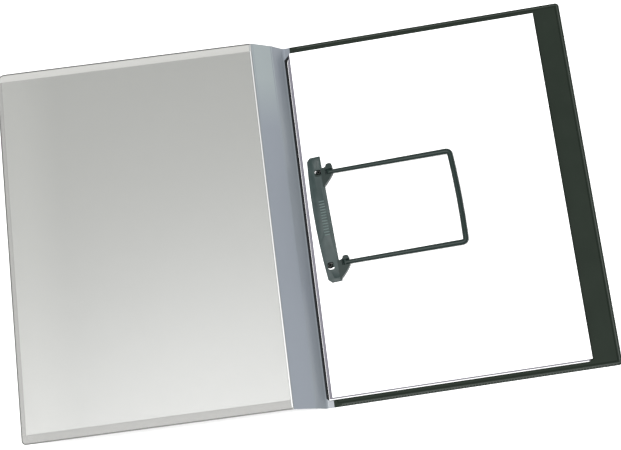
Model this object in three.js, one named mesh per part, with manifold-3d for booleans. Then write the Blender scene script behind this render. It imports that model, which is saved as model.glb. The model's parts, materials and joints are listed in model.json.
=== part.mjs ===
// Clip file folder for A4 sheets, lying open: a boarded back cover that carries a lever clip and its sheets,
// and one clear film that makes the spine, a hinge panel and the front cover with its title pocket.
// Millimetres, +Z up, +X from the spine to the open edge of the back cover, +Y towards the head of the sheets.
// The origin is under the middle of the back cover.
import * as THREE from "three";
import { mergeVertices } from "three/addons/utils/BufferGeometryUtils.js";
import Module from "manifold-3d";

const wasm = await Module();
wasm.setup();

// Covers
const coverHeight = 312;
const backWidth = 233;
const backCornerRadius = 3;
const skinThickness = 0.5;
const boardThickness = 1;
const weldWidth = 2.6;
const weldBevel = 1.2;
const boardFit = 0.4;

// Weld lip of the inner skin, which lies on the film flange beside the sheets
const lipWidth = 5.6;
const lipHeadSetback = 5.5;
const lipFootSetback = 6.5;
const lipHeadChamfer = 5.5;
const lipFootChamfer = 1.5;

// Film: the flange under the back cover, then the spine, the hinge panel and the front cover
const filmThickness = 0.5;
const flangeOverlap = 6;
const foldSetback = 0.4;
const spineWidth = 13.4;
const hingePanelWidth = 21;
const frontWidth = 216;
const frontHeadRadius = 7;
const frontFootRadius = 3.5;
const creaseGap = 0.3;

// Slopes of the three film stretches as the folder lies open, above the table, in degrees
const spineSlope = 54.3;
const hingePanelSlope = 42.9;
const frontSlope = 6.2;

// Title pocket and its sheet
const layerGap = 0.3;
const pocketFilmThickness = 0.4;
const pocketWeldWidth = 1;
const pocketInset = 1.2;
const titleSheetThickness = 0.3;
const titleSheetSetback = 1.8;

// Sheets
const sheetWidth = 210;
const sheetHeight = 297;
const lowerSheafThickness = 1.5;
const middleSheafThickness = 1.4;
const upperSheafThickness = 1;
const topSheetThickness = 0.3;
const lowerSheafShift = 2.9;
const middleSheafShift = 2;
const lowerSheafDrop = 1.4;
const middleSheafDrop = 0.9;
const sheafCornerRadius = 7;
const punchMargin = 12;
const punchSpacing = 80;
const punchDiameter = 5.4;

// Clip
const clipShiftY = -0.8;
const postDiameter = 3.6;
const postBore = 1.8;
const postTaper = 0.6;
const postReach = 1.8;
const baseWidth = 14;
const baseOverhang = 12;
const baseFit = 0.4;
const rivetFromPost = 7.5;
const rivetDiameter = 3;
const rivetHeadDiameter = 6;
const rivetHeadThickness = 0.25;
const rivetRimDiameter = 4.4;
const rivetRimThickness = 0.2;
const washerThickness = 0.2;
const rivetFit = 0.15;
const barTurn = 3;
const barShiftX = -0.7;
const barThickness = 2.4;
const barHeadOverhang = 13.5;
const barFootOverhang = 14.8;
const barLeftMiddle = 7.6;
const barLeftEnd = 5.2;
const barRight = 6.2;
const barChamfer = 2.6;
const barEdgeRound = 0.5;
const windowClearance = 0.3;
const windowWidth = 5.4;
const windowLength = 6;
const windowCornerRadius = 1.6;
const fanDepth = 0.6;
const fanReach = 8;
const gripRibCount = 13;
const gripRibLength = 4.6;
const gripRibWidth = 1;
const gripRibHeight = 0.35;
const gripRibPitch = 2.4;
const gripRibLeft = 1.4;
const earHeight = 4.8;
const earFloor = 0.8;
const earFoot = 13.5;
const earReach = 15;
const earReachY = 3.2;
const earTipWidth = 5.2;
const earTipY = 5.2;
const earTipRadius = 2;
const earNotchX = 7.4;
const earNotchY = 2;
const grooveClearance = 0.5;
const trunnionDiameter = 2;
const trunnionClearance = 0.25;
const trunnionLength = 1.5;
const pivotX = 11.5;
const legSpacing = 78.6;
const legMiddle = -1.2;
const legDiameter = 3.6;
const bailDiameter = 4.8;
const bailReach = 112.2;
const bailSkew = 2.1;
const bailRack = 1;
const bailCornerRadius = 3.6;
const bailBow = 0.9;
const legLift = 0.15;
const dimpleDiameter = 1.4;
const dimpleDepth = 1;
const dimpleFromCorner = 8.5;

// Heights and places worked out from the sizes above
const innerSkinBase = skinThickness;
const plateauHeight = 2 * skinThickness + boardThickness;
const seamX = -backWidth / 2;
const openEdgeX = backWidth / 2;
const halfHeight = coverHeight / 2;
const lipHead = halfHeight - lipHeadSetback;
const lipFoot = halfHeight - lipFootSetback;
const foldX = seamX - lipWidth - foldSetback;
const filmMiddle = filmThickness / 2;
const stackThickness = lowerSheafThickness + middleSheafThickness + upperSheafThickness + topSheetThickness;
const stackTop = plateauHeight + stackThickness;
const punchX = seamX + punchMargin;
const barTop = stackTop + barThickness;
const legAxisZ = stackTop + earFloor + legLift + legDiameter / 2;
const earTop = stackTop + earHeight;
const toRadians = THREE.MathUtils.degToRad;

const skinMaterial = new THREE.MeshStandardMaterial({ color: 0x2f362f, roughness: 0.55 });
const boardMaterial = new THREE.MeshStandardMaterial({ color: 0x9a8f7c, roughness: 0.95 });
const filmMaterial = new THREE.MeshStandardMaterial({ color: 0xb4bbc2, roughness: 0.3, transparent: true, opacity: 0.6 });
const sheetMaterial = new THREE.MeshStandardMaterial({ color: 0xf6f6f4, roughness: 0.9 });
const titleSheetMaterial = new THREE.MeshStandardMaterial({ color: 0xd6d8d6, roughness: 0.85 });
const metalMaterial = new THREE.MeshStandardMaterial({ color: 0xa8abad, roughness: 0.35, metalness: 1 });
const clipMaterial = new THREE.MeshStandardMaterial({ color: 0x34423e, roughness: 0.45 });

// Turns a closed geometry into a solid that can be joined and cut.
function solidOf(geometry) {
  const bare = geometry.index ? geometry.toNonIndexed() : geometry.clone();
  bare.deleteAttribute("normal");
  bare.deleteAttribute("uv");
  const merged = mergeVertices(bare, 1e-4);
  return new wasm.Manifold(
    new wasm.Mesh({
      numProp: 3,
      vertProperties: new Float32Array(merged.attributes.position.array),
      triVerts: new Uint32Array(merged.index.array),
    }),
  );
}

function geometryOf(solid) {
  const mesh = solid.getMesh();
  const geometry = new THREE.BufferGeometry();
  geometry.setAttribute("position", new THREE.BufferAttribute(mesh.vertProperties, 3));
  geometry.setIndex(new THREE.BufferAttribute(mesh.triVerts, 1));
  geometry.computeVertexNormals();
  return geometry;
}

function joined(...geometries) {
  return geometryOf(geometries.map(solidOf).reduce((whole, piece) => whole.add(piece)));
}

function cut(geometry, ...tools) {
  return geometryOf(tools.map(solidOf).reduce((whole, tool) => whole.subtract(tool), solidOf(geometry)));
}

// A rectangle with its own radius at each corner, from the low left corner round to the high left one.
function panelShape(left, right, low, high, [lowLeft, lowRight, highRight, highLeft] = [0, 0, 0, 0]) {
  const shape = new THREE.Shape();
  shape.moveTo(left + lowLeft, low);
  shape.lineTo(right - lowRight, low);
  if (lowRight) shape.absarc(right - lowRight, low + lowRight, lowRight, -Math.PI / 2, 0, false);
  shape.lineTo(right, high - highRight);
  if (highRight) shape.absarc(right - highRight, high - highRight, highRight, 0, Math.PI / 2, false);
  shape.lineTo(left + highLeft, high);
  if (highLeft) shape.absarc(left + highLeft, high - highLeft, highLeft, Math.PI / 2, Math.PI, false);
  shape.lineTo(left, low + lowLeft);
  if (lowLeft) shape.absarc(left + lowLeft, low + lowLeft, lowLeft, Math.PI, 1.5 * Math.PI, false);
  return shape;
}

function slab(shape, bottom, top, curveSegments = 6) {
  const geometry = new THREE.ExtrudeGeometry(shape, { depth: top - bottom, bevelEnabled: false, curveSegments });
  return geometry.translate(0, 0, bottom);
}

// A box whose top is drawn in by inset on all four sides.
function taperedBlock(left, right, low, high, bottom, top, inset) {
  const geometry = new THREE.BoxGeometry(right - left, high - low, top - bottom);
  const position = geometry.attributes.position;
  for (let i = 0; i < position.count; i++) {
    if (position.getZ(i) < 0) continue;
    position.setX(i, position.getX(i) - Math.sign(position.getX(i)) * inset);
    position.setY(i, position.getY(i) - Math.sign(position.getY(i)) * inset);
  }
  return geometry.translate((left + right) / 2, (low + high) / 2, (bottom + top) / 2);
}

function uprightCylinder(diameter, bottom, top, x, y, sides = 24) {
  const geometry = new THREE.CylinderGeometry(diameter / 2, diameter / 2, top - bottom, sides);
  return geometry.rotateX(Math.PI / 2).translate(x, y, (bottom + top) / 2);
}

function named(name, geometry, material) {
  const mesh = new THREE.Mesh(geometry, material);
  mesh.name = name;
  return mesh;
}

// The two punched rows of the sheets, which the posts, the windows and the legs of the bail all follow.
const rows = [1, -1].map((side) => ({ side, y: clipShiftY + (side * punchSpacing) / 2 }));

const folder = new THREE.Group();

// Back cover: two skins welded round their border, with the board shut in between them.
const boardLeft = seamX + weldWidth + weldBevel;
const boardRight = openEdgeX - weldWidth - weldBevel;
const boardHalfHeight = halfHeight - weldWidth - weldBevel;
const outerSkinShape = panelShape(seamX + flangeOverlap + creaseGap, openEdgeX, -halfHeight, halfHeight, [
  0,
  backCornerRadius,
  backCornerRadius,
  0,
]);
const rivets = rows.map((row) => ({ ...row, y: row.y + row.side * rivetFromPost }));
folder.add(
  named(
    "back_outer_skin",
    cut(
      slab(outerSkinShape, 0, skinThickness),
      ...rivets.map(({ y }) => uprightCylinder(rivetDiameter + 2 * rivetFit, -1, 1, punchX, y)),
      ...rivets.map(({ y }) => uprightCylinder(rivetHeadDiameter + 2 * rivetFit, -1, rivetHeadThickness, punchX, y)),
    ),
    skinMaterial,
  ),
);

const baseLeft = punchX - baseWidth / 2;
const baseRight = punchX + baseWidth / 2;
const baseHalfLength = punchSpacing / 2 + baseOverhang;
const boardShape = panelShape(boardLeft, boardRight, -boardHalfHeight, boardHalfHeight);
boardShape.holes.push(
  panelShape(
    baseLeft - baseFit,
    baseRight + baseFit,
    clipShiftY - baseHalfLength - baseFit,
    clipShiftY + baseHalfLength + baseFit,
  ),
);
folder.add(named("back_board", slab(boardShape, skinThickness, skinThickness + boardThickness), boardMaterial));

const borderShape = panelShape(seamX, openEdgeX, -halfHeight, halfHeight, [0, backCornerRadius, backCornerRadius, 0]);
const lipShape = new THREE.Shape([
  new THREE.Vector2(seamX + skinThickness, -lipFoot),
  new THREE.Vector2(seamX + skinThickness, lipHead),
  new THREE.Vector2(seamX, lipHead),
  new THREE.Vector2(seamX - lipWidth, lipHead - lipHeadChamfer),
  new THREE.Vector2(seamX - lipWidth, lipFootChamfer - lipFoot),
  new THREE.Vector2(seamX - lipWidth + lipFootChamfer, -lipFoot),
]);
const plateau = taperedBlock(
  seamX + weldWidth,
  openEdgeX - weldWidth,
  -halfHeight + weldWidth,
  halfHeight - weldWidth,
  innerSkinBase + skinThickness / 2,
  plateauHeight,
  weldBevel,
);
const boardSpace = slab(
  panelShape(
    boardLeft - boardFit,
    boardRight + boardFit,
    -boardHalfHeight - boardFit,
    boardHalfHeight + boardFit,
  ),
  0,
  skinThickness + boardThickness,
);
const postHoles = rows.map((row) => uprightCylinder(punchDiameter, 0, plateauHeight + 1, punchX, row.y));
folder.add(
  named(
    "back_inner_skin",
    cut(
      joined(
        slab(borderShape, innerSkinBase, innerSkinBase + skinThickness),
        slab(lipShape, innerSkinBase, innerSkinBase + skinThickness),
        plateau,
      ),
      boardSpace,
      ...postHoles,
    ),
    skinMaterial,
  ),
);

const flangeShape = panelShape(foldX + creaseGap, seamX + flangeOverlap, -halfHeight, halfHeight);
folder.add(named("hinge_flange_film", slab(flangeShape, 0, filmThickness), filmMaterial));

// Sheets: sheaves pushed a little towards the spine below the squared-up top ones, all punched for the posts.
function sheaf(name, shift, drop, bottom, thickness, lean = 0) {
  const shape = panelShape(
    seamX - shift,
    seamX - shift + sheetWidth,
    -drop - sheetHeight / 2,
    -drop + sheetHeight / 2,
    [0, 0, 0, shift ? sheafCornerRadius : 0],
  );
  shape.holes = rows.map((row) => {
    const hole = new THREE.Path();
    return hole.absarc(punchX, row.y, punchDiameter / 2, 0, 2 * Math.PI, true);
  });
  const geometry = slab(shape, bottom, bottom + thickness, 10);
  const position = geometry.attributes.position;
  for (let i = 0; i < position.count; i++) {
    const onSpineEdge = position.getX(i) < seamX - shift + 0.01;
    if (onSpineEdge && position.getZ(i) < bottom + thickness / 2) position.setX(i, seamX - shift - lean);
  }
  folder.add(named(name, geometry, sheetMaterial));
  return bottom + thickness;
}
const lowerTop = sheaf("lower_sheaf", lowerSheafShift, lowerSheafDrop, plateauHeight, lowerSheafThickness);
const middleTop = sheaf(
  "middle_sheaf",
  middleSheafShift,
  middleSheafDrop,
  lowerTop,
  middleSheafThickness,
  middleSheafThickness / 2,
);
const upperTop = sheaf("upper_sheaf", 0, 0, middleTop, upperSheafThickness, middleSheafShift / 2);
sheaf("top_sheet", 0, 0, upperTop, topSheetThickness);

// Clip base: a strip between the skins, and two hollow posts that stand up through the sheets.
const postTop = stackTop + postReach;
function post(row) {
  const profile = [
    new THREE.Vector2(0, skinThickness + boardThickness / 2),
    new THREE.Vector2(postDiameter / 2, skinThickness + boardThickness / 2),
    new THREE.Vector2(postDiameter / 2, postTop - postTaper),
    new THREE.Vector2(postDiameter / 2 - postTaper / 2, postTop),
    new THREE.Vector2(postBore / 2, postTop),
    new THREE.Vector2(postBore / 2, plateauHeight),
    new THREE.Vector2(0, plateauHeight),
  ];
  return new THREE.LatheGeometry(profile, 24).rotateX(Math.PI / 2).translate(punchX, row.y, 0);
}
const baseShape = panelShape(
  baseLeft,
  baseRight,
  clipShiftY - baseHalfLength,
  clipShiftY + baseHalfLength,
  [baseWidth / 4, baseWidth / 4, baseWidth / 4, baseWidth / 4],
);
const baseTop = skinThickness + boardThickness;
const rimBottom = baseTop - rivetRimThickness;
const washerBottom = rimBottom - washerThickness;
folder.add(
  named(
    "clip_base",
    cut(
      joined(slab(baseShape, skinThickness, baseTop), ...rows.map(post)),
      ...rivets.map(({ y }) => uprightCylinder(rivetDiameter + 2 * rivetFit, 0, baseTop + 1, punchX, y)),
      ...rivets.map(({ y }) =>
        uprightCylinder(rivetHeadDiameter + 2 * rivetFit, washerBottom, baseTop + 1, punchX, y),
      ),
    ),
    clipMaterial,
  ),
);

// Two semi-tubular rivets hold the base strip to the outer skin, each rolled over its own washer.
function rivetProfile() {
  const shank = rivetDiameter / 2;
  const floor = skinThickness;
  return [
    new THREE.Vector2(0, 0),
    new THREE.Vector2(rivetHeadDiameter / 2, 0),
    new THREE.Vector2(rivetHeadDiameter / 2, rivetHeadThickness),
    new THREE.Vector2(shank, rivetHeadThickness),
    new THREE.Vector2(shank, rimBottom),
    new THREE.Vector2(rivetRimDiameter / 2, rimBottom),
    new THREE.Vector2(rivetRimDiameter / 2, baseTop),
    new THREE.Vector2(shank - 0.5, baseTop),
    new THREE.Vector2(shank - 0.5, floor),
    new THREE.Vector2(0, floor),
  ];
}

function washerProfile() {
  const inner = rivetDiameter / 2 + rivetFit;
  const outer = rivetHeadDiameter / 2;
  return [
    new THREE.Vector2(inner, washerBottom),
    new THREE.Vector2(outer, washerBottom),
    new THREE.Vector2(outer, rimBottom),
    new THREE.Vector2(inner, rimBottom),
    new THREE.Vector2(inner, washerBottom),
  ];
}

for (const { side, y } of rivets) {
  const end = side > 0 ? "top" : "bottom";
  const turned = (profile) => new THREE.LatheGeometry(profile, 24).rotateX(Math.PI / 2).translate(punchX, y, 0);
  folder.add(named(end + "_rivet", turned(rivetProfile()), metalMaterial));
  folder.add(named(end + "_rivet_washer", turned(washerProfile()), metalMaterial));
}

// Compressor bar: a bowed plate with an ear and a window at each post, drawn about the middle of the clip.
const clip = new THREE.Group();
clip.position.set(punchX + barShiftX, clipShiftY, 0);
clip.rotation.z = toRadians(barTurn);
folder.add(clip);
const rowOffset = punchSpacing / 2;

// The bar lies a little turned on its posts, so each post stands off the middle of its row in the bar's frame.
const seats = rows.map(({ side, y }) => {
  const place = new THREE.Vector2(-barShiftX, y - clipShiftY).rotateAround(new THREE.Vector2(), -toRadians(barTurn));
  return { side, post: place, y: side * rowOffset };
});

function barPlate() {
  const head = rowOffset + barHeadOverhang - barEdgeRound;
  const foot = -rowOffset - barFootOverhang + barEdgeRound;
  const left = barLeftEnd - barEdgeRound;
  const bulge = 2 * (barLeftMiddle - barEdgeRound) - left;
  const right = barRight - barEdgeRound;
  const shape = new THREE.Shape();
  shape.moveTo(-left, foot + barChamfer);
  shape.lineTo(-left + barChamfer, foot);
  shape.lineTo(right, foot);
  shape.lineTo(right, head);
  shape.lineTo(-left + barChamfer, head);
  shape.lineTo(-left, head - barChamfer);
  shape.quadraticCurveTo(-bulge, 0, -left, foot + barChamfer);
  const geometry = new THREE.ExtrudeGeometry(shape, {
    depth: barThickness - 2 * barEdgeRound,
    bevelThickness: barEdgeRound,
    bevelSize: barEdgeRound,
    bevelSegments: 2,
    curveSegments: 14,
  });
  return geometry.translate(0, 0, stackTop + barEdgeRound);
}

// An ear leans out from the bar beside one row, and its point turns back towards the head of the sheets.
function ear(y) {
  const tipLeft = earReach - earTipWidth;
  const shape = new THREE.Shape();
  shape.moveTo(barRight - 2 * barEdgeRound, y - earFoot);
  shape.lineTo(barRight, y - earFoot);
  shape.quadraticCurveTo(earReach - earTipRadius, y - 2.2 * earReachY, earReach, y - earReachY);
  shape.lineTo(earReach, y + earTipY - earTipRadius);
  shape.quadraticCurveTo(earReach, y + earTipY, earReach - earTipWidth / 2, y + earTipY);
  shape.quadraticCurveTo(tipLeft, y + earTipY, tipLeft, y + earTipY - earTipRadius);
  shape.quadraticCurveTo(tipLeft - earTipRadius / 2, y + earNotchY, earNotchX, y + earNotchY);
  shape.lineTo(barRight - 2 * barEdgeRound, y + earNotchY);
  return slab(shape, stackTop, earTop, 5);
}

const legRows = [legMiddle + legSpacing / 2, legMiddle - legSpacing / 2];

function groove(y) {
  const half = legDiameter / 2 + grooveClearance;
  const left = pivotX - legDiameter / 2 - grooveClearance * 2;
  return slab(panelShape(left, earReach + 2, y - half, y + half), stackTop + earFloor, earTop + 1);
}

function trunnionHole(y) {
  const length = legDiameter + 2 * (trunnionLength + grooveClearance);
  const bore = trunnionDiameter / 2 + trunnionClearance;
  return new THREE.CylinderGeometry(bore, bore, length, 16).translate(pivotX, y, legAxisZ);
}

// A window is set off from its post to the inside and to the foot, where the sheets show through it.
function windowBounds({ side, post }) {
  const near = post.x + side * (postDiameter / 2 + windowClearance);
  const far = near - side * windowWidth;
  const high = post.y + postDiameter / 2 + windowClearance;
  return { left: Math.min(near, far), right: Math.max(near, far), low: high - windowLength, high };
}

function postWindow(seat) {
  const { left, right, low, high } = windowBounds(seat);
  const radii = [windowCornerRadius, windowCornerRadius, windowCornerRadius, windowCornerRadius];
  return slab(panelShape(left, right, low, high, radii), stackTop - 1, barTop + 1, 3);
}

// The shallow fan at a window spreads from its outer side to the edge that carries the ear.
function fan(seat) {
  const { left, right, low, high } = windowBounds(seat);
  const start = seat.side > 0 ? high : low;
  const reach = (share) => start + seat.side * fanReach * share;
  const shape = new THREE.Shape([
    new THREE.Vector2(left + 1, reach(-0.15)),
    new THREE.Vector2(right - 1, reach(-0.15)),
    new THREE.Vector2(barRight - 1, reach(0.4)),
    new THREE.Vector2(barRight - 1, reach(1)),
    new THREE.Vector2(right - 1.5, reach(1)),
  ]);
  return slab(shape, barTop - fanDepth, barTop + 1);
}

function gripRibs() {
  return Array.from({ length: gripRibCount }, (_, i) => {
    const y = (i - (gripRibCount - 1) / 2) * gripRibPitch;
    const shape = panelShape(-gripRibLeft, -gripRibLeft + gripRibLength, y - gripRibWidth / 2, y + gripRibWidth / 2);
    return slab(shape, barTop - gripRibHeight, barTop + gripRibHeight);
  });
}

clip.add(
  named(
    "compressor_bar",
    cut(
      joined(barPlate(), ...seats.map(({ y }) => ear(y)), ...gripRibs()),
      ...legRows.map(groove),
      ...legRows.map(trunnionHole),
      ...seats.map(postWindow),
      ...seats.map(fan),
    ),
    clipMaterial,
  ),
);

// Bail: a round rod bent to a U, thicker at its far end, with a barrel and two trunnions at the end of each leg.
// Its springy legs let it lie a little skew of the bar, so its corners are turned back about the trunnions' middle,
// and its far end racked, which leaves the leg at the foot a little longer.
const trunnionMiddle = new THREE.Vector2(pivotX, 0);
const bailCorners = legRows.map((y) => {
  const racked = bailReach + (legRows[0] - y) * Math.tan(toRadians(bailRack));
  return new THREE.Vector2(racked, y).rotateAround(trunnionMiddle, -toRadians(bailSkew));
});

function bailRod() {
  const [upper, lower] = bailCorners.map(({ x, y }) => new THREE.Vector3(x, y, 0));
  const starts = legRows.map((y) => new THREE.Vector3(pivotX, y, 0));
  const toward = (from, to) => from.clone().addScaledVector(to.clone().sub(from).normalize(), bailCornerRadius);
  const bow = upper.clone().add(lower).multiplyScalar(0.5);
  bow.x += 2 * bailBow;
  const curves = [
    new THREE.LineCurve3(starts[0], toward(upper, starts[0])),
    new THREE.QuadraticBezierCurve3(toward(upper, starts[0]), upper, toward(upper, lower)),
    new THREE.QuadraticBezierCurve3(toward(upper, lower), bow, toward(lower, upper)),
    new THREE.QuadraticBezierCurve3(toward(lower, upper), lower, toward(lower, starts[1])),
    new THREE.LineCurve3(toward(lower, starts[1]), starts[1]),
  ];
  const stations = [10, 6, 8, 6, 10];
  const rings = [];
  curves.forEach((curve, c) => {
    for (let i = c ? 1 : 0; i <= stations[c]; i++) {
      const t = i / stations[c];
      rings.push({ at: curve.getPoint(t), along: curve.getTangent(t) });
    }
  });
  return loft(rings, (at) => {
    const share = Math.min(1, Math.max(0, (at.x - pivotX) / (bailReach - pivotX)));
    return (legDiameter + (bailDiameter - legDiameter) * share) / 2;
  });
}

// A closed round rod through flat-lying rings, with a flat cap at each end.
function loft(rings, radiusAt, sides = 12) {
  const up = new THREE.Vector3(0, 0, 1);
  const points = [];
  for (const ring of rings) {
    const across = new THREE.Vector3().crossVectors(up, ring.along).normalize();
    const radius = radiusAt(ring.at);
    for (let s = 0; s < sides; s++) {
      const turn = (2 * Math.PI * s) / sides;
      const point = ring.at.clone().addScaledVector(across, radius * Math.cos(turn));
      points.push(point.addScaledVector(up, radius * Math.sin(turn)));
    }
  }
  const faces = [];
  for (let r = 0; r + 1 < rings.length; r++) {
    for (let s = 0; s < sides; s++) {
      const a = r * sides + s;
      const b = r * sides + ((s + 1) % sides);
      faces.push(a, b, a + sides, b, b + sides, a + sides);
    }
  }
  const last = (rings.length - 1) * sides;
  for (let s = 1; s + 1 < sides; s++) {
    faces.push(0, s + 1, s, last, last + s, last + s + 1);
  }
  const geometry = new THREE.BufferGeometry().setFromPoints(points);
  geometry.setIndex(faces);
  return geometry;
}

function legEnd(y) {
  const barrel = new THREE.CylinderGeometry(legDiameter / 2, legDiameter / 2, legDiameter, 20);
  const length = legDiameter + 2 * trunnionLength;
  const trunnions = new THREE.CylinderGeometry(trunnionDiameter / 2, trunnionDiameter / 2, length, 16);
  return [barrel.translate(pivotX, y, 0), trunnions.translate(pivotX, y, 0)];
}

const dimple = uprightCylinder(
  dimpleDiameter,
  bailDiameter / 2 - dimpleDepth,
  bailDiameter / 2 + 1,
  bailCorners[1].x + bailBow / 3,
  bailCorners[1].y + dimpleFromCorner,
  10,
);
const bail = named(
  "bail",
  cut(joined(bailRod(), ...legRows.flatMap(legEnd)), dimple),
  clipMaterial,
);
bail.position.z = legAxisZ;
clip.add(bail);

// Film: each stretch is a group at its own crease, and reaches from there along its own -X.
const spine = new THREE.Group();
spine.position.set(foldX, 0, filmMiddle);
spine.rotation.y = toRadians(spineSlope);
folder.add(spine);
const hingePanel = new THREE.Group();
hingePanel.position.x = -spineWidth;
hingePanel.rotation.y = toRadians(hingePanelSlope - spineSlope);
spine.add(hingePanel);
const front = new THREE.Group();
front.position.x = -hingePanelWidth;
front.rotation.y = toRadians(frontSlope - hingePanelSlope);
hingePanel.add(front);

function filmStrip(name, width) {
  const shape = panelShape(-width + creaseGap, -creaseGap, -halfHeight, halfHeight);
  return named(name, slab(shape, -filmMiddle, filmMiddle), filmMaterial);
}
spine.add(filmStrip("spine_film", spineWidth));
hingePanel.add(filmStrip("hinge_panel_film", hingePanelWidth));
const frontShape = panelShape(-frontWidth, -creaseGap, -halfHeight, halfHeight, [
  frontFootRadius,
  0,
  0,
  frontHeadRadius,
]);
front.add(named("front_cover_film", slab(frontShape, -filmMiddle, filmMiddle), filmMaterial));

// Title pocket: a film welded along the ridge, the foot and the open edge, and open at the head.
const sheetBottom = filmMiddle + layerGap;
const sheetTop = sheetBottom + titleSheetThickness;
const pocketUnderside = sheetTop + layerGap;
const titleRight = -titleSheetSetback;
const titleLeft = titleRight - sheetWidth;
const titleHalfHeight = sheetHeight / 2;
const pocketLeft = -frontWidth + pocketInset;
const pocketRight = -creaseGap - layerGap / 2;
const pocketLow = -halfHeight + pocketInset;
const pocketShape = panelShape(pocketLeft, pocketRight, pocketLow, titleHalfHeight, [
  frontFootRadius - pocketInset,
  0,
  0,
  0,
]);
const pocketSpace = slab(
  panelShape(
    titleLeft - layerGap,
    pocketRight - pocketWeldWidth,
    -titleHalfHeight - layerGap,
    titleHalfHeight + 1,
  ),
  0,
  pocketUnderside,
);
front.add(
  named(
    "pocket_film",
    cut(slab(pocketShape, sheetBottom, pocketUnderside + pocketFilmThickness), pocketSpace),
    filmMaterial,
  ),
);
const titleShape = panelShape(titleLeft, titleRight, -titleHalfHeight, titleHalfHeight);
front.add(named("title_sheet", slab(titleShape, sheetBottom, sheetTop), titleSheetMaterial));

export default folder;
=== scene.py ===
import json
import math

import bmesh
import bpy
from mathutils import Matrix, Quaternion, Vector

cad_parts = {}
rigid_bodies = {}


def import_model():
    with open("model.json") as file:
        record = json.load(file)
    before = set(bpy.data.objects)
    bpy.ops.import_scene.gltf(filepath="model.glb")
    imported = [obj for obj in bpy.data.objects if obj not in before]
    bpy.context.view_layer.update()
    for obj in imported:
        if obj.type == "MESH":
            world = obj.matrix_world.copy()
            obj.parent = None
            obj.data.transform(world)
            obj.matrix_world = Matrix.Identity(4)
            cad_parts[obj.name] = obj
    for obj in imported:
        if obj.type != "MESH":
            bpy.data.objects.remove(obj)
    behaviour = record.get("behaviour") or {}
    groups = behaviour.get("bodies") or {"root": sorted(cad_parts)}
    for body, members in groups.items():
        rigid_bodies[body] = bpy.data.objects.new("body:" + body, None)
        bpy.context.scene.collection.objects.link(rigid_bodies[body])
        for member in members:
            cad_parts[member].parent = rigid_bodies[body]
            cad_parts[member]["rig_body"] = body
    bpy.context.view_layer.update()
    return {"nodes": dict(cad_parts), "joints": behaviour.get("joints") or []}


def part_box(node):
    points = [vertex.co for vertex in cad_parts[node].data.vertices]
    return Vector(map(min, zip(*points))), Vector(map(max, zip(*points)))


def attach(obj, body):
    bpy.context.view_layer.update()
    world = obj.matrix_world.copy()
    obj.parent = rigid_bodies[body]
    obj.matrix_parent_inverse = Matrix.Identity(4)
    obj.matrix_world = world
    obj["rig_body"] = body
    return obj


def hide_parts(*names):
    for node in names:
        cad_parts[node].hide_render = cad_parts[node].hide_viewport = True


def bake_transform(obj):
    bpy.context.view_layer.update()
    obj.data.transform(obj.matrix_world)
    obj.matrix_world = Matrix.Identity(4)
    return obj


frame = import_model()
nodes = frame["nodes"]

# Back cover: two skins of dark green-black PVC sheet, welded round a grey board.
# The PVC has a fine leather-like grain that leaves it nearly matt.
# The board shows nowhere, but it stiffens the cover.
MM = 0.001
grain_detail = 3
mottle_detail = 4
mottle_span = (0.3, 0.7)


def plastic(name, colour, roughness, specular=0.5):
    """A plain plastic of one colour."""
    material = bpy.data.materials.new(name)
    material.use_nodes = True
    shader = material.node_tree.nodes["Principled BSDF"]
    shader.inputs["Base Color"].default_value = (*colour, 1)
    shader.inputs["Roughness"].default_value = roughness
    shader.inputs["Specular IOR Level"].default_value = specular
    return material


def add_grain(material, scale, strength, depth):
    """Presses a fine noise grain into a material, on the piece's own coordinates."""
    tree = material.node_tree
    coordinates = tree.nodes.new("ShaderNodeTexCoord")
    noise = tree.nodes.new("ShaderNodeTexNoise")
    noise.inputs["Scale"].default_value = scale
    noise.inputs["Detail"].default_value = grain_detail
    bump = tree.nodes.new("ShaderNodeBump")
    bump.inputs["Strength"].default_value = strength
    bump.inputs["Distance"].default_value = depth
    tree.links.new(coordinates.outputs["Object"], noise.inputs["Vector"])
    tree.links.new(noise.outputs["Fac"], bump.inputs["Height"])
    tree.links.new(bump.outputs["Normal"], tree.nodes["Principled BSDF"].inputs["Normal"])


def add_mottle(material, second_colour, scale):
    """Lets a material drift in soft patches from its own colour to a second one."""
    tree = material.node_tree
    base = tree.nodes["Principled BSDF"].inputs["Base Color"]
    coordinates = tree.nodes.new("ShaderNodeTexCoord")
    noise = tree.nodes.new("ShaderNodeTexNoise")
    noise.inputs["Scale"].default_value = scale
    noise.inputs["Detail"].default_value = mottle_detail
    ramp = tree.nodes.new("ShaderNodeValToRGB")
    first, last = ramp.color_ramp.elements
    first.position, last.position = mottle_span
    first.color = base.default_value
    last.color = (*second_colour, 1)
    tree.links.new(coordinates.outputs["Object"], noise.inputs["Vector"])
    tree.links.new(noise.outputs["Fac"], ramp.inputs["Fac"])
    tree.links.new(ramp.outputs["Color"], base)


def add_fade(material, second_colour, axis, start, end):
    """Lets a material fade along one axis from its own colour to a second one."""
    tree = material.node_tree
    base = tree.nodes["Principled BSDF"].inputs["Base Color"]
    coordinates = tree.nodes.new("ShaderNodeTexCoord")
    split = tree.nodes.new("ShaderNodeSeparateXYZ")
    span = tree.nodes.new("ShaderNodeMapRange")
    span.inputs["From Min"].default_value = start
    span.inputs["From Max"].default_value = end
    ramp = tree.nodes.new("ShaderNodeValToRGB")
    first, last = ramp.color_ramp.elements
    first.color = base.default_value
    last.color = (*second_colour, 1)
    tree.links.new(coordinates.outputs["Object"], split.inputs["Vector"])
    tree.links.new(split.outputs[axis], span.inputs["Value"])
    tree.links.new(span.outputs["Result"], ramp.inputs["Fac"])
    tree.links.new(ramp.outputs["Color"], base)


def give_finish(node_name, material):
    """Gives one node of the frame its finish."""
    node = nodes[node_name]
    node.data.materials.clear()
    node.data.materials.append(material)


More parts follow.
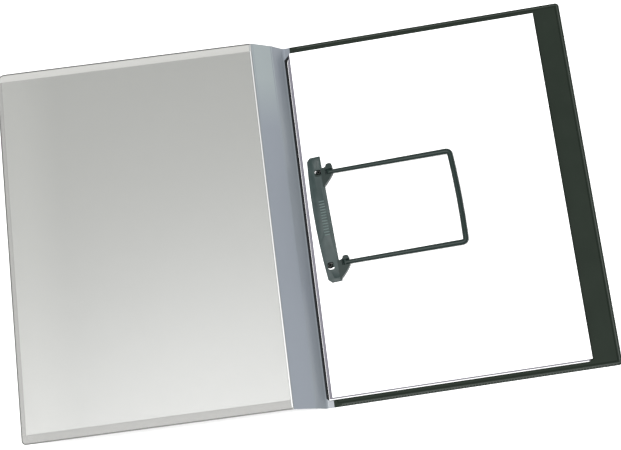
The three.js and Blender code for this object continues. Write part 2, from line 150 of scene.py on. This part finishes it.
cover_grain = {"scale": 1400, "strength": 0.3, "depth": 0.08 * MM}
cover_pvc = plastic("Cover PVC", (0.009, 0.0135, 0.0095), 0.7, specular=0.1)
add_grain(cover_pvc, **cover_grain)
add_mottle(cover_pvc, (0.011, 0.016, 0.0115), scale=40)
give_finish("back_outer_skin", cover_pvc)
give_finish("back_inner_skin", cover_pvc)
grey_board = plastic("Grey board", (0.33, 0.28, 0.21), 0.9)
add_mottle(grey_board, (0.27, 0.23, 0.17), scale=300)
give_finish("back_board", grey_board)


def paint_faces(mesh, material, chosen):
    """Gives the chosen faces of a mesh one more material."""
    mesh.materials.append(material)
    for polygon in mesh.polygons:
        if chosen(polygon):
            polygon.material_index = len(mesh.materials) - 1


outer_low, outer_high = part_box("back_outer_skin")
seam_lap = 6.3 * MM
seam_x = outer_low.x - seam_lap
# The lip beside the seam is painted near-black: painted shade in the narrow gap between the spine film and
# the paper stack.
lip_shade_pvc = plastic("Lip painted shade PVC", (0.004, 0.005, 0.006), 0.6, specular=0.1)
add_grain(lip_shade_pvc, **cover_grain)
paint_faces(nodes["back_inner_skin"].data, lip_shade_pvc, lambda face: face.center.x < seam_x)

# Cover weld: the line that the welding bar presses round three sides of the back cover.
# It is the same PVC, squeezed smooth, with small teeth pressed beside it at the foot. Bead and teeth are
# painted a little lighter: a painted highlight along the weld.
weld_inset = 1.7 * MM
weld_bead_width = 0.6 * MM
weld_bead_height = 0.25 * MM
skins_at_weld = 2
tooth_pitch = 2.4 * MM
tooth_along = 1.3 * MM
tooth_across = 0.8 * MM
tooth_height = 0.18 * MM
teeth_inset = 0.75 * MM
teeth_stop = 4 * MM
weld_highlight_pvc = plastic("Weld highlight PVC", (0.024, 0.03, 0.025), 0.5, specular=0.2)
add_mottle(weld_highlight_pvc, (0.029, 0.036, 0.03), scale=150)


def place_piece(piece, body):
    """Links a finished piece, and says what it moves with."""
    bpy.context.scene.collection.objects.link(piece)
    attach(piece, body)
    return piece


def place_mesh(mesh, body):
    """Places a mesh as a piece of the same name."""
    return place_piece(bpy.data.objects.new(mesh.name, mesh), body)


def mesh_from(name, shape, material):
    """Turns a bmesh into a mesh that faces outwards."""
    bmesh.ops.recalc_face_normals(shape, faces=shape.faces)
    mesh = bpy.data.meshes.new(name)
    shape.to_mesh(mesh)
    shape.free()
    mesh.materials.append(material)
    return mesh


def add_box(shape, low, high):
    """Adds one box, from its lowest to its highest corner, and returns its vertices."""
    middle = (Vector(low) + Vector(high)) / 2
    size = Vector(high) - Vector(low)
    matrix = Matrix.Translation(middle) @ Matrix.Diagonal((*size, 1))
    return bmesh.ops.create_cube(shape, size=1, matrix=matrix)["verts"]


skin_low, skin_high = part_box("back_inner_skin")
weld_top = skins_at_weld * outer_high.z
weld_left = outer_low.x
weld_right = skin_high.x - weld_inset
weld_head = skin_high.y - weld_inset
bead = bmesh.new()
half_bead = weld_bead_width / 2
for y in (weld_head, -weld_head):
    add_box(
        bead,
        (weld_left, y - half_bead, weld_top),
        (weld_right + half_bead, y + half_bead, weld_top + weld_bead_height),
    )
add_box(
    bead,
    (weld_right - half_bead, -weld_head, weld_top),
    (weld_right + half_bead, weld_head, weld_top + weld_bead_height),
)
place_mesh(mesh_from("cover_weld_bead", bead, weld_highlight_pvc), "back_cover")


def node_tree(name, sizes):
    """A geometry tree with named number inputs, and its group input and output nodes."""
    tree = bpy.data.node_groups.new(name, "GeometryNodeTree")
    tree.interface.new_socket("Geometry", in_out="INPUT", socket_type="NodeSocketGeometry")
    for label in sizes:
        tree.interface.new_socket(label, in_out="INPUT", socket_type="NodeSocketFloat")
    tree.interface.new_socket("Geometry", in_out="OUTPUT", socket_type="NodeSocketGeometry")
    return tree, tree.nodes.new("NodeGroupInput"), tree.nodes.new("NodeGroupOutput")


def grown_mesh(name, base_mesh, tree, sizes):
    """Runs a geometry tree on a mesh with the given sizes, and returns the plain mesh it makes."""
    holder = bpy.data.objects.new(name, base_mesh)
    bpy.context.scene.collection.objects.link(holder)
    modifier = holder.modifiers.new(name, "NODES")
    modifier.node_group = tree
    for item in tree.interface.items_tree:
        if item.in_out == "INPUT" and item.name in sizes:
            modifier[item.identifier] = sizes[item.name]
    bpy.context.view_layer.update()
    evaluated = holder.evaluated_get(bpy.context.evaluated_depsgraph_get())
    mesh = bpy.data.meshes.new_from_object(evaluated)
    holder.modifiers.remove(modifier)
    bpy.data.objects.remove(holder)
    mesh.name = name
    return mesh


teeth_tree, teeth_in, teeth_out = node_tree("Weld teeth", ("Pitch", "Along", "Across", "Height"))
to_curve = teeth_tree.nodes.new("GeometryNodeMeshToCurve")
spaced = teeth_tree.nodes.new("GeometryNodeCurveToPoints")
spaced.mode = "LENGTH"
size_vector = teeth_tree.nodes.new("ShaderNodeCombineXYZ")
tooth = teeth_tree.nodes.new("GeometryNodeMeshCube")
placed = teeth_tree.nodes.new("GeometryNodeInstanceOnPoints")
solid = teeth_tree.nodes.new("GeometryNodeRealizeInstances")
coloured = teeth_tree.nodes.new("GeometryNodeSetMaterial")
coloured.inputs["Material"].default_value = weld_highlight_pvc
wire = teeth_tree.links.new
wire(teeth_in.outputs["Geometry"], to_curve.inputs["Mesh"])
wire(to_curve.outputs["Curve"], spaced.inputs["Curve"])
wire(teeth_in.outputs["Pitch"], spaced.inputs["Length"])
wire(teeth_in.outputs["Along"], size_vector.inputs["X"])
wire(teeth_in.outputs["Across"], size_vector.inputs["Y"])
wire(teeth_in.outputs["Height"], size_vector.inputs["Z"])
wire(size_vector.outputs["Vector"], tooth.inputs["Size"])
wire(spaced.outputs["Points"], placed.inputs["Points"])
wire(tooth.outputs["Mesh"], placed.inputs["Instance"])
wire(placed.outputs["Instances"], solid.inputs["Geometry"])
wire(solid.outputs["Geometry"], coloured.inputs["Geometry"])
wire(coloured.outputs["Geometry"], teeth_out.inputs["Geometry"])
teeth_right = skin_high.x - teeth_inset - teeth_stop
teeth_foot = teeth_inset - skin_high.y
teeth_middle = weld_top + tooth_height / 2
teeth_ends = [(weld_left, teeth_foot, teeth_middle), (teeth_right, teeth_foot, teeth_middle)]
teeth_line = bpy.data.meshes.new("teeth_line")
teeth_line.from_pydata(teeth_ends, [(0, 1)], [])
teeth_sizes = {"Pitch": tooth_pitch, "Along": tooth_along, "Across": tooth_across, "Height": tooth_height}
place_mesh(grown_mesh("cover_weld_teeth", teeth_line, teeth_tree, teeth_sizes), "back_cover")

# Film: soft clear PVC sheet, one piece for the spine, the hinge panel and the front cover.
# It has a faint blue-grey smoke. The spine, the hinge panel and the flange are painted darker than the
# front cover, as painted shade.
# The hinge panel is painted paler toward its head: a painted highlight where the film catches the light.
film_wave_scale = 13
film_wave_depth = 0.5 * MM
panel_highlight_span = (80 * MM, 125 * MM)


def film(name, colour, alpha, roughness, specular=0.5):
    """A see-through plastic film that lies in very shallow waves."""
    material = plastic(name, colour, roughness, specular)
    add_grain(material, scale=film_wave_scale, strength=1, depth=film_wave_depth)
    material.node_tree.nodes["Principled BSDF"].inputs["Alpha"].default_value = alpha
    return material


spine_film = film("Shaded spine film", (0.166, 0.184, 0.209), 0.95, 0.3, specular=0.35)
add_mottle(spine_film, (0.18, 0.2, 0.215), scale=10)
panel_shade_highlight_film = film("Panel film shade and highlight", (0.172, 0.19, 0.215), 0.95, 0.3, specular=0.35)
# Painted highlight: the panel turns paler toward its head.
add_fade(panel_shade_highlight_film, (0.217, 0.245, 0.251), "Y", *panel_highlight_span)
shaded_flange_film = film("Shaded flange film", (0.145, 0.16, 0.18), 0.95, 0.3, specular=0.35)
front_film = film("Front film", (0.345, 0.345, 0.33), 0.8, 0.36, specular=0.35)
pocket_film = film("Pocket film", (0.25, 0.25, 0.24), 0.26, 0.36, specular=0.35)
give_finish("hinge_flange_film", shaded_flange_film)
give_finish("spine_film", spine_film)
give_finish("hinge_panel_film", panel_shade_highlight_film)
give_finish("front_cover_film", front_film)
give_finish("pocket_film", pocket_film)

# Creases: the same film, scored and bent, so it turns from one flat stretch into the next.
# Each bend is shared by the two stretches.
crease_reach = 1.8 * MM
crease_half_thickness = 0.27 * MM
crease_overhang = 0.04 * MM
crease_steps = 6
joints = {joint["name"]: joint for joint in frame["joints"]}
fold_place = Vector(joints["spine_fold"]["pos_m"])
crease_place = Vector(joints["inner_crease"]["pos_m"])
ridge_place = Vector(joints["front_ridge"]["pos_m"])
front_film_low, front_film_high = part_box("front_cover_film")
free_edge = Vector((front_film_low.x, 0, front_film_high.z - crease_half_thickness))


def crease_strip(name, before, middle, after):
    """A bent strip of film along one crease, between the two bodies that it joins."""
    toward_before = (before - middle).normalized() * crease_reach
    toward_after = (after - middle).normalized() * crease_reach
    section = []
    for step in range(crease_steps + 1):
        t = step / crease_steps
        centre = middle + (1 - t) ** 2 * toward_before + t**2 * toward_after
        along = (t * toward_after - (1 - t) * toward_before).normalized()
        across = Vector((-along.z, 0, along.x))
        section.append((centre, across * crease_half_thickness))
    outline = [centre + across for centre, across in section]
    outline += [centre - across for centre, across in reversed(section)]
    foot_y, head_y = skin_low.y - crease_overhang, skin_high.y + crease_overhang
    shape = bmesh.new()
    foot = [shape.verts.new((p.x, foot_y, p.z)) for p in outline]
    head = [shape.verts.new((p.x, head_y, p.z)) for p in outline]
    count = len(outline)
    for i in range(count):
        j = (i + 1) % count
        shape.faces.new((foot[i], foot[j], head[j], head[i]))
    for i in range(crease_steps):
        j = count - 1 - i
        shape.faces.new((foot[i], foot[j], foot[j - 1], foot[i + 1]))
        shape.faces.new((head[i], head[i + 1], head[j - 1], head[j]))
    strip = bpy.data.objects.new(name, mesh_from(name, shape, spine_film))
    bpy.context.scene.collection.objects.link(strip)
    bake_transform(strip)


flat_ahead = fold_place + Vector((1, 0, 0))
crease_strip("spine_fold_bend", flat_ahead, fold_place, crease_place)
crease_strip("inner_crease_bend", fold_place, crease_place, ridge_place)
crease_strip("ridge_bend", crease_place, ridge_place, free_edge)

# Flange weld: a raised line at each end of the seam, where the film is welded to the cover.
# It is the same film, squeezed up beside the welding bar.
flange_weld_width = 0.4 * MM
flange_weld_length = 7.5 * MM
flange_weld_height = 0.2 * MM
flange_weld = bmesh.new()
for y in (skin_low.y, skin_high.y - flange_weld_length):
    add_box(
        flange_weld,
        (seam_x - flange_weld_width, y, outer_high.z),
        (seam_x, y + flange_weld_length, outer_high.z + flange_weld_height),
    )
place_mesh(mesh_from("flange_weld", flange_weld, spine_film), "back_cover")

# Pocket weld: the pale line along the ridge where the pocket film is welded to the front cover.
# The weld stands a little proud beside the title sheet; its pale colour is a painted highlight along the
# ridge.
ridge_highlight_film = film("Ridge weld highlight", (0.43, 0.435, 0.43), 0.95, 0.35)
front_slope = math.atan2(free_edge.z - ridge_place.z, ridge_place.x - free_edge.x)
front_frame = Matrix.Translation(ridge_place) @ Matrix.Rotation(front_slope, 4, "Y")
pocket_top = 1.55 * MM
pocket_weld_low = -1.5 * MM
pocket_weld_high = -0.6 * MM
pocket_weld_foot = 1.5 * MM
pocket_weld_height = 0.15 * MM
title_half_height = 148.5 * MM
pocket_weld = bmesh.new()
add_box(
    pocket_weld,
    (pocket_weld_low, skin_low.y + pocket_weld_foot, pocket_top),
    (pocket_weld_high, title_half_height, pocket_top + pocket_weld_height),
)
bmesh.ops.transform(pocket_weld, matrix=front_frame, verts=pocket_weld.verts)
place_mesh(mesh_from("pocket_weld", pocket_weld, ridge_highlight_film), "front_cover")

# Cut edge: the rim of the front film, where the pocket is welded to it, pressed thin and darker.
# It runs round the head, the open edge and the foot of the front cover.
rim_film = film("Rim film", (0.07, 0.07, 0.066), 0.92, 0.4, specular=0.3)
rim_width = 1.05 * MM
rim_low = 0.26 * MM
rim_high = 0.4 * MM
rim_end = -1 * MM
head_radius = 7 * MM
foot_radius = 3.5 * MM
corner_steps = 6
free_side = -(ridge_place - free_edge).length


def rim_corner(centre_x, centre_y, radius, start):
    """Points along one rounded corner of the rim, from a start angle through a quarter turn."""
    points = []
    for step in range(corner_steps + 1):
        turn = start + math.pi / 2 * step / corner_steps
        points.append((centre_x + radius * math.cos(turn), centre_y + radius * math.sin(turn)))
    return points


def rim_line(inset):
    """The line of the rim at one inset from the cut, from the ridge round to the ridge."""
    line = [(rim_end, skin_high.y - inset)]
    for y, radius, start in (
        (skin_high.y - head_radius, head_radius, math.pi / 2),
        (skin_low.y + foot_radius, foot_radius, math.pi),
    ):
        line += rim_corner(free_side + radius, y, radius - inset, start)
    return line + [(rim_end, skin_low.y + inset)]


rim = bmesh.new()
rim_rings = []
for inset, z in ((0, rim_low), (0, rim_high), (rim_width, rim_high), (rim_width, rim_low)):
    rim_rings.append([rim.verts.new((x, y, z)) for x, y in rim_line(inset)])
for ring, following in zip(rim_rings, rim_rings[1:] + rim_rings[:1]):
    for i in range(len(ring) - 1):
        rim.faces.new((ring[i], ring[i + 1], following[i + 1], following[i]))
rim.faces.new([ring[0] for ring in rim_rings])
rim.faces.new([ring[-1] for ring in rim_rings])
bmesh.ops.transform(rim, matrix=front_frame, verts=rim.verts)
place_mesh(mesh_from("front_rim", rim, rim_film), "front_cover")

# Title sheet: one blank A4 sheet behind the pocket film.
# It is grey, and painted paler along its free side: a painted glare of the lamp in the film. The gloss of
# the film lies over it as a coat.
title_paper = plastic("Title paper", (0.268, 0.279, 0.261), 0.75)
title_inputs = title_paper.node_tree.nodes["Principled BSDF"].inputs
title_inputs["Coat Weight"].default_value = 1
title_inputs["Coat Roughness"].default_value = 0.33
title_inputs["Coat IOR"].default_value = 2.0
paper_grain = 900
add_grain(title_paper, scale=paper_grain, strength=0.25, depth=0.06 * MM)
title_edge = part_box("title_sheet")[0].x
painted_glare_width = 12 * MM
painted_glare_reach = 42 * MM
# Painted glare: the sheet turns paler toward its free side.
add_fade(title_paper, (0.35, 0.361, 0.339), "X", title_edge + painted_glare_reach, title_edge + painted_glare_width)
give_finish("title_sheet", title_paper)

# Filed sheets: A4 office paper, squared up on top and fanned to the spine below; the middle sheaf is
# painted dark violet-grey, as painted shade in the step of the fanned edge.
# Each lower sheaf is built sheet by sheet, so its edges show the separate sheets.
sheet_pitch = 0.15 * MM
sheet_thickness = 0.1 * MM
sheet_scatter = 0.25 * MM
fan_reach = 3 * MM
middle_lean = 0.4 * MM
towards_spine = -0.2


def sheet_paper(name, colour, second_colour, mottle_scale):
    """A dull paper with a fine grain and a faint mottle."""
    material = plastic(name, colour, 0.85)
    add_grain(material, scale=paper_grain, strength=0.2, depth=0.05 * MM)
    add_mottle(material, second_colour, mottle_scale)
    return material


paper = sheet_paper("Office paper", (0.93, 0.93, 0.93), (0.9, 0.9, 0.895), 120)
step_shade_paper = sheet_paper("Step shade paper", (0.12, 0.115, 0.14), (0.14, 0.135, 0.155), 250)
give_finish("upper_sheaf", paper)
# The spine-facing faces of the upper sheaf are painted the same dark paper: painted shade on its slanted
# edge.
paint_faces(nodes["upper_sheaf"].data, step_shade_paper, lambda face: face.normal.x < towards_spine)
give_finish("top_sheet", paper)

sheets_tree, sheets_in, sheets_out = node_tree("Stacked sheets", ("Count", "Pitch", "Scatter"))
pile = sheets_tree.nodes.new("GeometryNodeMeshLine")
step_vector = sheets_tree.nodes.new("ShaderNodeCombineXYZ")
scatter_low = sheets_tree.nodes.new("ShaderNodeCombineXYZ")
scatter_high = sheets_tree.nodes.new("ShaderNodeCombineXYZ")
negative = sheets_tree.nodes.new("ShaderNodeMath")
negative.operation = "MULTIPLY"
negative.inputs[1].default_value = -1
scatter = sheets_tree.nodes.new("FunctionNodeRandomValue")
scatter.data_type = "FLOAT_VECTOR"
scatter.inputs["Seed"].default_value = 7
jog = sheets_tree.nodes.new("GeometryNodeSetPosition")
stacked = sheets_tree.nodes.new("GeometryNodeInstanceOnPoints")
whole = sheets_tree.nodes.new("GeometryNodeRealizeInstances")
printed = sheets_tree.nodes.new("GeometryNodeSetMaterial")
wire = sheets_tree.links.new
wire(sheets_in.outputs["Count"], pile.inputs["Count"])
wire(sheets_in.outputs["Pitch"], step_vector.inputs["Z"])
wire(step_vector.outputs["Vector"], pile.inputs["Offset"])
wire(sheets_in.outputs["Scatter"], negative.inputs[0])
for axis in ("X", "Y"):
    wire(negative.outputs[0], scatter_low.inputs[axis])
    wire(sheets_in.outputs["Scatter"], scatter_high.inputs[axis])
wire(scatter_low.outputs["Vector"], scatter.inputs["Min"])
wire(scatter_high.outputs["Vector"], scatter.inputs["Max"])
wire(pile.outputs["Mesh"], jog.inputs["Geometry"])
wire(scatter.outputs["Value"], jog.inputs["Offset"])
wire(jog.outputs["Geometry"], stacked.inputs["Points"])
wire(sheets_in.outputs["Geometry"], stacked.inputs["Instance"])
wire(stacked.outputs["Instances"], whole.inputs["Geometry"])
wire(whole.outputs["Geometry"], printed.inputs["Geometry"])
wire(printed.outputs["Geometry"], sheets_out.inputs["Geometry"])


def stack_sheets(node_name, piece_name, lean, material):
    """Stands a pile of single sheets in a sheaf's place, which leans to the spine as it goes down."""
    low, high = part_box(node_name)
    single = nodes[node_name].data.copy()
    edge = low.x + lean
    for vertex in single.vertices:
        vertex.co.x = max(vertex.co.x, edge)
        share = (vertex.co.z - low.z) / (high.z - low.z)
        vertex.co.z = low.z + share * sheet_thickness
    printed.inputs["Material"].default_value = material
    rise = high.z - low.z - sheet_thickness
    count = int(rise / sheet_pitch) + 1
    sizes = {"Count": float(count), "Pitch": rise / (count - 1), "Scatter": sheet_scatter}
    mesh = grown_mesh(piece_name, single, sheets_tree, sizes)
    for vertex in mesh.vertices:
        if vertex.co.x < edge + fan_reach:
            depth = (high.z - vertex.co.z) / (high.z - low.z)
            vertex.co.x -= lean * depth
    mesh.materials.clear()
    mesh.materials.append(material)
    for polygon in mesh.polygons:
        polygon.material_index = 0
    piece = place_mesh(mesh, "back_cover")
    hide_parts(node_name)


stack_sheets("lower_sheaf", "fanned_sheets", 0, paper)
stack_sheets("middle_sheaf", "shaded_middle_sheets", middle_lean, step_shade_paper)

# Clip base: the moulded strip between the skins, with the posts that hold the sheets.
# Two steel rivets with washers fix it to the outer skin, and their heads show underneath.
mould_grain = 2200


def moulding(name, colour, roughness, specular):
    """A plastic with the faint sparked grain of its mould."""
    material = plastic(name, colour, roughness, specular)
    add_grain(material, scale=mould_grain, strength=0.2, depth=0.03 * MM)
    return material


clip_plastic = moulding("Clip plastic", (0.009, 0.0165, 0.0145), 0.42, 0.13)
give_finish("clip_base", moulding("Post plastic", (0.004, 0.006, 0.005), 0.5, 0.2))
rivet_steel = plastic("Rivet steel", (0.62, 0.62, 0.6), 0.3)
rivet_steel.node_tree.nodes["Principled BSDF"].inputs["Metallic"].default_value = 1
add_grain(rivet_steel, scale=800, strength=0.3, depth=0.05 * MM)
for node_name in ("top_rivet", "top_rivet_washer", "bottom_rivet", "bottom_rivet_washer"):
    give_finish(node_name, rivet_steel)

# Compressor bar and bail: the same dark green plastic, moulded with softly rounded edges.
# The bar's flat top is painted lighter than the round bail: painted light on its upward face. The rib tops
# are painted lighter still, and the ears are painted darker.
lit_bar_plastic = moulding("Lit bar plastic", (0.014, 0.025, 0.024), 0.45, 0.22)
add_mottle(lit_bar_plastic, (0.024, 0.037, 0.036), scale=110)
rib_top_plastic = moulding("Rib top plastic", (0.055, 0.08, 0.077), 0.5, 0.25)
smooth_angle = math.radians(38)
flat_angle = math.radians(1)
join_distance = 0.002 * MM


def moulded(node_name, piece_name, material, edge):
    """A smooth copy of a moulded node, with rounded edges, which stands for that node."""
    source = nodes[node_name]
    shape = bmesh.new()
    shape.from_mesh(source.data)
    bmesh.ops.remove_doubles(shape, verts=shape.verts, dist=join_distance)
    bmesh.ops.dissolve_limit(shape, angle_limit=flat_angle, verts=shape.verts, edges=shape.edges)
    mesh = mesh_from(piece_name, shape, material)
    for polygon in mesh.polygons:
        polygon.use_smooth = True
    mesh.set_sharp_from_angle(angle=smooth_angle)
    piece = bpy.data.objects.new(piece_name, mesh)
    if edge:
        rounding = piece.modifiers.new("Rounded edges", "BEVEL")
        rounding.width = edge
        rounding.segments = 2
        rounding.limit_method = "ANGLE"
        rounding.angle_limit = smooth_angle
    place_piece(piece, source["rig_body"])
    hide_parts(node_name)
    return piece


bar_edge = 0.18 * MM
bar = moulded("compressor_bar", "moulded_bar", lit_bar_plastic, bar_edge)
ear_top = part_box("compressor_bar")[1].z
rib_low, rib_high = ear_top - 2.3 * MM, ear_top - 1.8 * MM
rib_area = 8 * MM * MM


def is_rib_top(face):
    """Tells the small flat faces on the tops of the ribs."""
    return rib_low < face.center.z < rib_high and face.area < rib_area


paint_faces(bar.data, rib_top_plastic, is_rib_top)
# The ears are painted in the darker bail plastic: painted shade where they slope away from the light.
paint_faces(bar.data, clip_plastic, lambda face: face.center.z > rib_high)
moulded("bail", "moulded_bail", clip_plastic, 0)

# Window tongues: thin dark tongues of the bar in each window, which stand in for the shade inside the
# windows.
# They cover the foot of the upper window and the inner side of the lower one.
post_spacing = 80 * MM
post_gap = 2.05 * MM
window_reach = 3.4 * MM
window_foot = -4 * MM
tongue_end = -0.3 * MM
tongue_low, tongue_high = ear_top - 4.4 * MM, ear_top - 3.3 * MM
swing_x, swing_y, _ = joints["bail_swing"]["axis"]
bar_turn = math.atan2(-swing_x, swing_y)
base_low, base_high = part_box("clip_base")
base_middle = (base_low + base_high) / 2
upper_tongues = (
    ((-window_reach, window_foot), (post_gap, -post_gap)),
    ((-window_reach, -post_gap), (-post_gap, tongue_end)),
)
lower_tongues = (((post_gap, -post_gap), (window_reach, post_gap)),)
tongues = bmesh.new()
for side, outlines in ((1, upper_tongues), (-1, lower_tongues)):
    post_place = Vector((base_middle.x, base_middle.y + side * post_spacing / 2, 0))
    at_post = Matrix.Translation(post_place) @ Matrix.Rotation(bar_turn, 4, "Z")
    for corner_low, corner_high in outlines:
        made = add_box(tongues, (*corner_low, tongue_low), (*corner_high, tongue_high))
        bmesh.ops.transform(tongues, matrix=at_post, verts=made)
place_mesh(mesh_from("window_shade_tongues", tongues, clip_plastic), "clip_bar")

# Studio: a white table, a large soft lamp over the front cover, and the photograph's camera.
# The lamp's glare fades up the pocket film, as it does in the photograph.
table_half = 3.0
table_drop = 0.2 * MM
table_shape = bmesh.new()
bmesh.ops.create_grid(table_shape, x_segments=1, y_segments=1, size=table_half)
bmesh.ops.translate(table_shape, vec=(0, 0, -table_drop), verts=table_shape.verts)
table_paint = plastic("Table", (0.95, 0.95, 0.95), 1, specular=0)
table = bpy.data.objects.new("table", mesh_from("table", table_shape, table_paint))
bpy.context.scene.collection.objects.link(table)

world = bpy.data.worlds.new("Studio")
bpy.context.scene.world = world
world.use_nodes = True
world.node_tree.nodes["Background"].inputs["Color"].default_value = (1, 1, 1, 1)
world.node_tree.nodes["Background"].inputs["Strength"].default_value = 0.7

lamp_place = Vector((-0.16, -0.21, 1.6))
lamp_aim = Vector((-0.2, -0.1, 0))
lamp = bpy.data.lights.new("Overhead", "AREA")
lamp.shape = "SQUARE"
lamp.size = 0.9
lamp.energy = 40
lamp_holder = bpy.data.objects.new("Overhead", lamp)
bpy.context.scene.collection.objects.link(lamp_holder)
lamp_holder.location = lamp_place
lamp_holder.rotation_euler = (lamp_aim - lamp_place).to_track_quat("-Z", "Y").to_euler()

image_width = 621
sensor_width = 36
focal_pixels = 1578.31
centre_shift = (60, -60)
camera_azimuth = math.radians(14.54)
camera_elevation = math.radians(72.95)
camera_roll = math.radians(-23.07)
camera_distance = 1.32351
camera_target = Vector((-0.06095, 0.04066, 0))
back = Vector(
    (
        math.sin(camera_azimuth) * math.cos(camera_elevation),
        -math.cos(camera_azimuth) * math.cos(camera_elevation),
        math.sin(camera_elevation),
    )
)
lens = bpy.data.cameras.new("Camera")
lens.sensor_width = sensor_width
lens.lens = focal_pixels * sensor_width / image_width
lens.shift_x = -centre_shift[0] / image_width
lens.shift_y = centre_shift[1] / image_width
lens.clip_start = 0.01
lens.clip_end = 20
camera = bpy.data.objects.new("Camera", lens)
bpy.context.scene.collection.objects.link(camera)
camera.rotation_mode = "QUATERNION"
camera.rotation_quaternion = (-back).to_track_quat("-Z", "Y") @ Quaternion((0, 0, 1), camera_roll)
camera.location = camera_target + back * camera_distance
bpy.context.scene.camera = camera
bpy.context.scene.view_settings.view_transform = "Standard"
